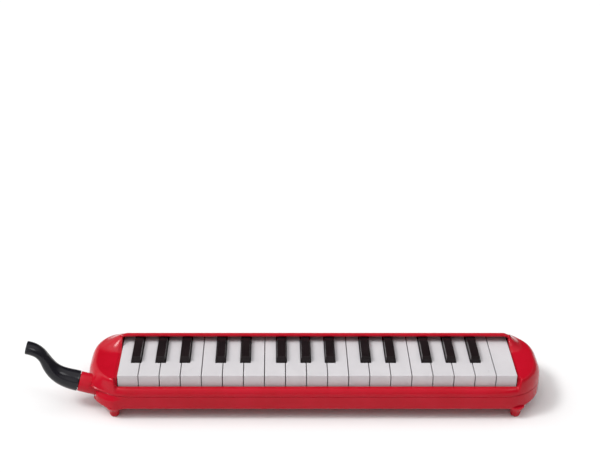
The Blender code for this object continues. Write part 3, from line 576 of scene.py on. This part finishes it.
def remap(tree, value, low, high, to_low, to_high):
    return add_node(
        tree, "ShaderNodeMapRange", Value=value,
        **{"From_Min": low, "From_Max": high, "To_Min": to_low, "To_Max": to_high},
    ).outputs["Result"]


def calculate(tree, operation, *values):
    """The result of a sum or product whose values are numbers or sockets."""
    made = add_node(tree, "ShaderNodeMath", {"operation": operation})
    for socket, value in zip(made.inputs, values):
        if isinstance(value, bpy.types.NodeSocket):
            tree.links.new(value, socket)
        else:
            socket.default_value = value
    return made.outputs[0]


def stretched(tree, place, scale):
    return add_node(tree, "ShaderNodeMapping", Vector=place, Scale=scale).outputs["Vector"]


def mix_colour(tree, share, first, second):
    made = add_node(tree, "ShaderNodeMix", {"data_type": "RGBA"})
    tree.links.new(share, made.inputs[0])
    for socket, colour in ((made.inputs[6], first), (made.inputs[7], second)):
        if isinstance(colour, bpy.types.NodeSocket):
            tree.links.new(colour, socket)
        else:
            socket.default_value = (*colour, 1.0)
    return made.outputs[2]


def bump(tree, height, strength, distance, before=None):
    inputs = {"Height": height, "Strength": strength, "Distance": distance}
    if before is not None:
        inputs["Normal"] = before
    return add_node(tree, "ShaderNodeBump", **inputs).outputs["Normal"]


def start_material(name):
    """A new material: its node tree, its shader and the object's own coordinates, in metres."""
    material = bpy.data.materials.new(name)
    material.use_nodes = True
    tree = material.node_tree
    place = tree.nodes.new("ShaderNodeTexCoord").outputs["Object"]
    return material, tree, tree.nodes["Principled BSDF"], place


def connect(tree, shader, **inputs):
    for name, value in inputs.items():
        tree.links.new(value, shader.inputs[name.replace("_", " ")])


def edge_wear_and_sheen(tree, colour, worn_and_sheen):
    """The colour going over to a lighter one where the surface is most convex: partly edge wear, partly a
    painted highlight along the edges.
    """
    convex = add_node(tree, "ShaderNodeNewGeometry").outputs["Pointiness"]
    return mix_colour(tree, remap(tree, convex, 0.52, 0.62, 0, 0.6), colour, worn_and_sheen)


def plastic(name, colour, second, rough, grain=0.0, specular=0.5, worn_and_sheen=None):
    """Moulded plastic: two close shades in soft patches, fine scratches, a faint moulding ripple, and lighter
    convex edges that are partly wear and partly painted highlight.
    """
    material, tree, shader, place = start_material(name)
    patches = noise(tree, place, 38, 4)
    tint = mix_colour(tree, remap(tree, patches, 0.35, 0.65, 0, 1), colour, second)
    # lighter convex edges: partly wear, partly a painted edge highlight
    if worn_and_sheen is not None:
        tint = edge_wear_and_sheen(tree, tint, worn_and_sheen)
    hairlines = noise(tree, stretched(tree, place, (120, 2600, 900)), 1, 2, 0.7)
    swirls = noise(tree, stretched(tree, place, (2300, 160, 900)), 1, 2, 0.7)
    marks = calculate(tree, "MULTIPLY", hairlines, swirls)
    scratched = remap(tree, marks, 0.15, 0.45, 0, 1)
    smudges = remap(tree, noise(tree, place, 75, 5, 0.6), 0.3, 0.7, rough - 0.04, rough + 0.05)
    roughness = calculate(tree, "MULTIPLY_ADD", scratched, 0.05, smudges)
    ripple = bump(tree, noise(tree, place, 260, 2), 0.06, 0.0004)
    normal = bump(tree, marks, 0.035, 0.0002, ripple)
    if grain:
        normal = bump(tree, noise(tree, place, 2400, 2), grain, 0.0003, normal)
    connect(tree, shader, Base_Color=tint, Roughness=roughness, Normal=normal)
    shader.inputs["Specular IOR Level"].default_value = specular
    return material


def metal(name, colour, second, rough, along):
    """Plated or rolled metal with fine lines, whose direction is given as the stretch of its grain."""
    material, tree, shader, place = start_material(name)
    lines = noise(tree, stretched(tree, place, along), 1, 4, 0.65)
    stains = noise(tree, place, 120, 5, 0.6)
    tint = mix_colour(tree, remap(tree, stains, 0.4, 0.7, 0, 1), colour, second)
    dulled = remap(tree, stains, 0.3, 0.7, rough - 0.12, rough)
    roughness = calculate(tree, "MULTIPLY_ADD", lines, 0.2, dulled)
    normal = bump(tree, lines, 0.18, 0.0001)
    connect(tree, shader, Base_Color=tint, Roughness=roughness, Normal=normal)
    shader.inputs["Metallic"].default_value = 1.0
    return material


def soft_rubber(name):
    material, tree, shader, place = start_material(name)
    bloom = noise(tree, place, 160, 5, 0.6)
    tint = mix_colour(tree, remap(tree, bloom, 0.4, 0.75, 0, 1), (0.018, 0.018, 0.019), (0.05, 0.049, 0.047))
    normal = bump(tree, noise(tree, place, 1800, 3), 0.25, 0.0003)
    connect(tree, shader, Base_Color=tint, Roughness=remap(tree, bloom, 0.3, 0.7, 0.6, 0.82), Normal=normal)
    return material


def green_felt(name):
    material, tree, shader, place = start_material(name)
    fibres = noise(tree, stretched(tree, place, (500, 2400, 2400)), 1, 6, 0.75)
    tufts = noise(tree, place, 700, 5, 0.7)
    tint = mix_colour(tree, remap(tree, fibres, 0.35, 0.65, 0, 1), (0.035, 0.11, 0.055), (0.12, 0.27, 0.15))
    normal = bump(tree, fibres, 0.8, 0.0006, bump(tree, tufts, 0.7, 0.001))
    connect(tree, shader, Base_Color=tint, Roughness=remap(tree, tufts, 0.3, 0.7, 0.85, 1), Normal=normal)
    shader.inputs["Sheen Weight"].default_value = 0.5
    shader.inputs["Sheen Roughness"].default_value = 0.5
    return material


def bands(tree, place, direction, scale, distortion):
    settings = {"wave_type": "BANDS", "bands_direction": direction, "wave_profile": "SIN"}
    made = add_node(
        tree, "ShaderNodeTexWave", settings, Vector=place, Scale=scale, Distortion=distortion, Detail=1.0,
    )
    return made.outputs["Fac"]


def webbing(name):
    """Woven black nylon tape: ribs across it and yarns along it."""
    material, tree, shader, place = start_material(name)
    weave = calculate(tree, "MULTIPLY", bands(tree, place, "Y", 300, 0.6), bands(tree, place, "X", 190, 0.4))
    fuzz = noise(tree, place, 2600, 4, 0.7)
    tint = mix_colour(tree, weave, (0.008, 0.008, 0.009), (0.05, 0.05, 0.054))
    normal = bump(tree, weave, 0.9, 0.0005, bump(tree, fuzz, 0.3, 0.0003))
    connect(tree, shader, Base_Color=tint, Roughness=remap(tree, fuzz, 0.3, 0.7, 0.68, 0.92), Normal=normal)
    shader.inputs["Sheen Weight"].default_value = 0.25
    return material


def make_materials():
    """Every material, under the name of the record's slot that it fills."""
    return {
        "red_case": plastic(
            "red_case_gloss", (0.41, 0.0024, 0.012), (0.445, 0.0034, 0.016), 0.14, specular=0.2,
            # the lighter edge colour is partly wear and partly a painted edge highlight
            worn_and_sheen=(0.56, 0.012, 0.03),
        ),
        "white_key": plastic(
            "key_ivory", (0.54, 0.521, 0.537), (0.572, 0.552, 0.568), 0.3, grain=0.05, specular=0.4,
        ),
        "black_key": plastic(
            "key_ebony", (0.0085, 0.0050, 0.0058), (0.013, 0.008, 0.009), 0.18, grain=0.05, specular=0.24,
        ),
        "black_mouthpiece": plastic(
            "mouthpiece_black", (0.0055, 0.005, 0.0085), (0.009, 0.008, 0.012), 0.13, specular=0.34,
            # the lighter edge colour is partly wear and partly a painted edge highlight
            worn_and_sheen=(0.035, 0.034, 0.04),
        ),
        "chest_plastic": plastic(
            "chest_ivory", (0.6, 0.585, 0.53), (0.67, 0.655, 0.6), 0.5, grain=0.25, worn_and_sheen=(0.75, 0.74, 0.7),
        # the lighter edge colour is partly wear and partly a painted edge highlight
        ),
        "steel": metal("steel_plated", (0.56, 0.565, 0.58), (0.44, 0.44, 0.45), 0.32, (60, 3000, 3000)),
        "reed_brass": metal("brass_rolled", (0.72, 0.52, 0.22), (0.58, 0.39, 0.16), 0.38, (3000, 80, 3000)),
        "rubber": soft_rubber("rubber_black"),
        "felt": green_felt("felt_green"),
        "strap_webbing": webbing("webbing_black"),
    }


# ---------------------------------------------------------------- keys

WHITE_KEY_ROUND = 0.55 * MM
BLACK_KEY_ROUND = 0.5 * MM


def keys(materials):
    """Each key keeps the CAD key's own shape, with its moulded edges rounded."""
    for name in WHITE_KEYS:
        mesh = refined(name, WHITE_KEY_ROUND)
        level_faces(make_piece(name + "_cap", mesh, name, materials["white_key"], [name]))
    for name in BLACK_KEYS:
        mesh = refined(name, BLACK_KEY_ROUND)
        level_faces(make_piece(name + "_cap", mesh, name, materials["black_key"], [name]))


def level_faces(piece):
    """Gives the large flat faces an even shade right up to their rounded edges."""
    modifier = piece.modifiers.new("level", "WEIGHTED_NORMAL")
    modifier.weight = 100
    modifier.keep_sharp = True
    apply_all(piece)


# ---------------------------------------------------------------- socket and mouthpiece


def socket(material):
    """The thick round tube that the spigot goes into, from its outside round to its stepped bore."""
    outside = [(9.3, -1.5), (9.5, 0), (9.5, 15.2), (9.2, 15.8), (8.8, 16.0), (8.1, 16.0), (7.7, 15.6)]
    inside = [(7.7, 1.5), (4.4, 1.3), (4.4, -10), (5.8, -10), (5.8, -1.6)]
    mesh = revolve("socket", outside + inside, SOCKET_AT, SOCKET_OUT, 64, closed=True)
    make_piece("socket", mesh, "case", material, ["mouthpiece_socket"], 40)


def bezier(a, b, c, d, t):
    s = 1 - t
    return a * s**3 + b * 3 * s * s * t + c * 3 * s * t * t + d * t**3


def curve_point(values, place):
    """A smooth value between those of a list, at a place that counts in steps of the list."""
    k = min(int(place), len(values) - 2)
    t = place - k
    before = values[max(k - 1, 0)]
    after = values[min(k + 2, len(values) - 1)]
    a, b = values[k], values[k + 1]
    slope_a, slope_b = (b - before) / 2, (after - a) / 2
    return (
        a * (2 * t**3 - 3 * t**2 + 1) + slope_a * (t**3 - 2 * t**2 + t)
        + b * (3 * t**2 - 2 * t**3) + slope_b * (t**3 - t**2)
    )


PATH_STEPS = 12
SOCKET_END = 16.3 * MM
TUBE_WALL = 1.7
BORE_RADIUS = 4.4


def mouthpiece_path(count):
    """The bent part's middle line from the shoulder to the tip, in the plane of X and Z."""
    start = SOCKET_AT + SOCKET_OUT * SOCKET_END
    first = [(0, 0), (-12.5, 3.6), (-21, 6.5), (-27, 18.5)]
    second = [(-27, 18.5), (-31, 26.5), (-32.5, 34.5), (-46.2, 37.3)]
    half = count // 2
    points = []
    for corners, steps in ((first, range(half)), (second, range(half + 1))):
        corners = [start + Vector((x * MM, 0, z * MM)) for x, z in corners]
        points += [bezier(*corners, k / half) for k in steps]
    return points


def mouthpiece(material):
    """A bent tube with a stepped round spigot. Its widths and heights are half sizes in mm along the bend."""
    count = 6 * PATH_STEPS
    path = mouthpiece_path(count)
    ahead = [(b - a).normalized() for a, b in zip(path, path[1:])]
    along = [SOCKET_OUT] + [(a + b).normalized() for a, b in zip(ahead, ahead[1:])] + [ahead[-1]]
    across = Vector((0, 1, 0))
    ups = [across.cross(direction) for direction in along]
    heights = [9.8, 9.7, 9.3, 8.7, 8.0, 7.2, 6.4, 5.7, 5.2, 5.2, 5.3, 5.5, 5.6]
    widths = [9.8, 9.7, 9.3, 8.9, 8.4, 8.0, 7.6, 7.4, 7.3, 7.3, 7.4, 7.6, 7.7]
    sizes = [
        (curve_point(widths, 12 * k / count), curve_point(heights, 12 * k / count)) for k in range(count + 1)
    ]
    bm = bmesh.new()
    rings = []

    def add(centre, up, width, height):
        rings.append(circle(centre, across, up, width * MM, height * MM, 56))

    spigot = [
        (5.7, 2.0), (5.95, 2.15), (6.3, 2.8), (6.3, 6.9), (6.1, 7.0), (5.5, 7.05), (5.5, 8.95),
        (6.1, 9.0), (6.4, 9.15), (6.4, 16.2), (6.5, 16.3), (9.3, 16.3), (9.65, 16.4),
    ]
    for radius, distance in spigot:
        add(SOCKET_AT + SOCKET_OUT * distance * MM, ups[0], radius, radius)
    for k in range(1, count):
        add(path[k], ups[k], *sizes[k])
    end_width, end_height = sizes[-1]
    rim = TUBE_WALL / 2
    for k in range(7):
        a = math.pi * k / 6
        pull = rim * (1 - math.cos(a))
        back = rim * (1 - math.sin(a))
        add(path[-1] - along[-1] * back * MM, ups[-1], end_width - pull, end_height - pull)
    for k in range(count - 2, 2, -1):
        width, height = sizes[k]
        add(path[k], ups[k], width - TUBE_WALL, height - TUBE_WALL)
    for distance in (14, 2):
        add(SOCKET_AT + SOCKET_OUT * distance * MM, ups[0], BORE_RADIUS, BORE_RADIUS)
    add_rings(bm, rings, closed=True)
    mesh = mesh_from(bm, "mouthpiece_tube")
    make_piece("mouthpiece_tube", mesh, "mouthpiece", material, ["mouthpiece"], 45)


def ring_seal(material):
    """The round rubber ring in the spigot's groove."""
    angles = [math.pi / 8 * k for k in range(16)]
    profile = [(6.6 + 0.75 * math.cos(a), 8 + 0.75 * math.sin(a)) for a in angles]
    mesh = revolve("spigot_ring", profile, SOCKET_AT, SOCKET_OUT, 56, closed=True)
    make_piece("spigot_ring", mesh, "mouthpiece", material, ["mouthpiece_seal"], 60)


# ---------------------------------------------------------------- fasteners, drain valve and strap

RECESS_DEPTH = 0.9 * MM


def cross_recess(piece, at, size):
    """A cross-shaped driver recess in a screw's head, cut by two small boxes."""
    narrow = size * 0.24
    for sizes in ((narrow, size), (size, narrow)):
        bm = bmesh.new()
        matrix = Matrix.Translation(at) @ Matrix.Diagonal((*sizes, 2 * RECESS_DEPTH, 1))
        bmesh.ops.create_cube(bm, size=1, matrix=matrix)
        cut(piece, mesh_from(bm, piece.name + "_recess"))


def screws(material):
    """Turned screws, from the profile of a head and shank and a pointed end."""
    case_profile = [(0.1, 0), (1.9, 0.05), (2.8, 0.6), (2.8, 1.4), (2.4, 1.8), (1.4, 1.9), (1.4, 14)]
    case_profile = rounded(case_profile, 0.25, 2) + [Vector((0.2, 15.5))]
    strap_profile = [(0.1, 0), (1.5, 0.05), (2.4, 0.5), (2.7, 1.0), (2.7, 1.5), (1.2, 1.55), (1.2, 12.4)]
    strap_profile = rounded(strap_profile, 0.2, 2) + [Vector((0.2, 13.4))]
    rows = [(f"case_screw_{index}", case_profile, 3.0 * MM) for index in range(1, 5)]
    rows += [("strap_screw_" + side, strap_profile, 2.6 * MM) for side in ("left", "right")]
    for node, profile, recess in rows:
        at = foot_of(node)
        mesh = revolve(node + "_turned", profile, at, UP, 32)
        piece = make_piece(node + "_turned", mesh, "case", material, [node], 40)
        cross_recess(piece, at, recess)


def drain(materials):
    """The drain valve's button, pin, seal and spring, along a line from the front to the rear."""
    button = rounded([
        (1.3, 43.5), (3, 43.5), (3, 45), (4, 45), (4, 46.7), (3, 46.7), (3, 50.9), (2.0, 51), (0.1, 50.9),
    ], 0.5, 3)
    mesh = revolve("drain_cap", button, DRAIN_AT, REARWARD, 40)
    material = materials["black_mouthpiece"]
    make_piece("drain_cap", mesh, "drain_button", material, ["drain_button"], 40)
    pin = [(0.1, 31.8), (2.0, 31.8), (2.2, 32.0), (2.2, 32.9), (1, 32.95), (1, 43.4), (0.1, 43.4)]
    mesh = revolve("drain_pin", pin, DRAIN_AT, REARWARD, 32)
    make_piece("drain_pin", mesh, "drain_button", materials["steel"], ["drain_valve_pin"], 40)
    seal = [(1.1, 33.2), (2.2, 33.2), (2.4, 33.4), (2.4, 34.5), (2.2, 34.7), (1.1, 34.7)]
    mesh = revolve("drain_seal", seal, DRAIN_AT, REARWARD, 32, closed=True)
    make_piece("drain_seal", mesh, "drain_button", materials["rubber"], ["drain_valve_seal"], 40)
    coil_spring(materials["steel"])


def coil_spring(material):
    low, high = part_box("drain_spring")
    turns, per_turn = 3, 24
    wire, radius = 0.28 * MM, 2.4 * MM
    start, end = low.y + wire, high.y - wire
    bm = bmesh.new()
    rings = []
    for k in range(turns * per_turn + 1):
        a = 2 * math.pi * k / per_turn
        outward = Vector((math.cos(a), 0, math.sin(a)))
        y = start + (end - start) * k / (turns * per_turn)
        centre = Vector((DRAIN_AT.x, y, DRAIN_AT.z)) + outward * radius
        rings.append(circle(centre, outward, REARWARD, wire, wire, 10))
    close_ends(bm, add_rings(bm, rings))
    mesh = mesh_from(bm, "drain_coil")
    make_piece("drain_coil", mesh, "case", material, ["drain_spring"], 60)


STRAP_THICK = 1.8 * MM
STRAP_INSET = 6 * MM
STRAP_BEND = 22 * MM


def strap_height(x):
    """The height of the band's upper face: level under its brackets, and lower between them."""
    low, high = STRAP
    reach = min(x - low.x, high.x - x) - 2 * STRAP_INSET
    sag = low.z + STRAP_THICK
    return high.z - (high.z - sag) * smooth_step(reach, 0, STRAP_BEND)


def strap_section(half, edge):
    """The band's outline across, flat above and below with round edges."""
    section = []
    for side in (-1, 1):
        for k in range(9):
            a = math.pi * k / 8
            section.append((side * (half - edge * (1 - math.sin(a))), side * edge * math.cos(a)))
        section += [(side * (half - 2 * half * k / 16), -side * edge) for k in range(1, 16)]
    return section


def hand_strap(materials):
    """The webbing band and the two brackets that hold its ends."""
    low, high = STRAP
    middle = (low.y + high.y) / 2
    half = (high.y - low.y) / 2
    edge = STRAP_THICK / 2
    section = strap_section(half, edge)
    bm = bmesh.new()
    rings = []
    steps = 120
    for k in range(steps + 1):
        x = low.x + (high.x - low.x) * k / steps
        slope = (strap_height(x + 0.1 * MM) - strap_height(x - 0.1 * MM)) / (0.2 * MM)
        up = Vector((-slope, 0, 1)).normalized()
        centre = Vector((x, middle, strap_height(x) - edge))
        rings.append([centre + Vector((0, y, 0)) + up * z for y, z in section])
    close_ends(bm, add_rings(bm, rings))
    mesh = mesh_from(bm, "strap_band")
    material = materials["strap_webbing"]
    piece = make_piece("strap_band", mesh, "case", material, ["hand_strap"], 60)
    for side in ("left", "right"):
        node = "strap_bracket_" + side
        mesh = refined(node, 0.5 * MM)
        make_piece(node + "_plate", mesh, "case", materials["steel"], [node])


def carried_over(materials):
    """The inner parts keep their CAD shape and get their own materials."""
    wanted = {
        "wind_chest": "chest_plastic",
        "wind_chest_cover": "chest_plastic",
        "key_guide_rail": "chest_plastic",
        "chest_gasket": "rubber",
        "inlet_duct": "rubber",
        "reed_plate_low": "reed_brass",
        "reed_plate_high": "reed_brass",
        "pivot_shaft": "steel",
        "key_spring_comb": "steel",
        "key_stop_felt": "felt",
    }
    for node, slot in wanted.items():
        data = NODES[node].data
        data.materials.clear()
        data.materials.append(materials[slot])


# ---------------------------------------------------------------- stage, light and camera

ROOM_LEVEL = 0.2
FLOOR_SIZE = 20
FLOOR_SHADE = 0.79


def stage():
    """A wide floor of matt white paper."""
    bm = bmesh.new()
    bmesh.ops.create_grid(bm, x_segments=1, y_segments=1, size=FLOOR_SIZE)
    mesh = mesh_from(bm, "floor", recalculate=False)
    floor = bpy.data.objects.new("floor", mesh)
    bpy.context.scene.collection.objects.link(floor)
    material, tree, shader, place = start_material("floor_paper")
    fibres = noise(tree, place, 900, 3)
    shader.inputs["Base Color"].default_value = (FLOOR_SHADE, FLOOR_SHADE, FLOOR_SHADE, 1)
    shader.inputs["Roughness"].default_value = 0.9
    shader.inputs["Specular IOR Level"].default_value = 0.1
    tree.links.new(bump(tree, fibres, 0.03, 0.0003), shader.inputs["Normal"])
    mesh.materials.append(material)


def lobe(tree, direction, towards, outer, inner, level):
    """Light from round one direction, full inside one angle and fading to nothing at another, in degrees."""
    nearness = add_node(tree, "ShaderNodeVectorMath", {"operation": "DOT_PRODUCT"})
    tree.links.new(direction, nearness.inputs[0])
    nearness.inputs[1].default_value = Vector(towards).normalized()
    limits = [math.cos(math.radians(angle)) for angle in (outer, inner)]
    return add_node(
        tree, "ShaderNodeMapRange", {"interpolation_type": "SMOOTHSTEP"}, Value=nearness.outputs["Value"],
        **{"From_Min": limits[0], "From_Max": limits[1], "To_Min": 0.0, "To_Max": level},
    ).outputs["Result"]


def studio():
    """A white room with soft lamps at the left, above, in front and behind, and a darker backdrop.

    Each soft lamp is the direction it shines from, its outer and inner angles and its strength.
    """
    sun = bpy.data.lights.new("key_light", "SUN")
    sun.energy = 1.35
    sun.angle = math.radians(14)
    lamp = bpy.data.objects.new("key_light", sun)
    bpy.context.scene.collection.objects.link(lamp)
    lamp.rotation_euler = Vector((0.6, 0.12, -0.79)).to_track_quat("-Z", "Y").to_euler()
    world = bpy.data.worlds.new("studio")
    bpy.context.scene.world = world
    world.use_nodes = True
    tree = world.node_tree
    direction = add_node(tree, "ShaderNodeTexCoord").outputs["Generated"]
    lamps = [
        ((-0.6, -0.1, 0.79), 42, 12, 1.5),
        ((0.1, 0.1, 0.98), 60, 15, 0.8),
        ((-0.78, 0.5, 0.36), 38, 16, 0.6),
        ((0.43, -0.41, 0.81), 13, 7, 3.2),
        ((-0.15, -0.86, 0.48), 30, 12, 0.8),
    ]
    level = ROOM_LEVEL
    for towards, outer, inner, strength in lamps:
        level = calculate(tree, "ADD", lobe(tree, direction, towards, outer, inner, strength), level)
    backdrop = lobe(tree, direction, (0.04, 0.8, 0.58), 31, 17, 0.82)
    level = calculate(tree, "MULTIPLY", calculate(tree, "SUBTRACT", 1.0, backdrop), level)
    tree.nodes["Background"].inputs["Color"].default_value = (1, 1, 1, 1)
    tree.links.new(level, tree.nodes["Background"].inputs["Strength"])


def camera():
    """A camera about a metre in front of the keys and 0.7 m up, with the object low in its view."""
    data = bpy.data.cameras.new("camera")
    data.sensor_width = 36
    data.lens = 73.14
    data.shift_x = 0.0402
    data.clip_start = 0.01
    eye = bpy.data.objects.new("camera", data)
    bpy.context.scene.collection.objects.link(eye)
    eye.location = (-0.0085, -0.974, 0.686)
    eye.rotation_euler = (math.radians(62), 0, 0)
    bpy.context.scene.camera = eye


def main():
    camera()
    materials = make_materials()
    upper_case(materials["red_case"])
    lower_case(materials["red_case"])
    case_feet(materials["red_case"])
    screw_seats(materials["red_case"])
    keys(materials)
    socket(materials["red_case"])
    mouthpiece(materials["black_mouthpiece"])
    ring_seal(materials["rubber"])
    screws(materials["steel"])
    drain(materials)
    hand_strap(materials)
    carried_over(materials)
    stage()
    studio()
    bpy.context.scene.view_settings.view_transform = "Standard"


main()
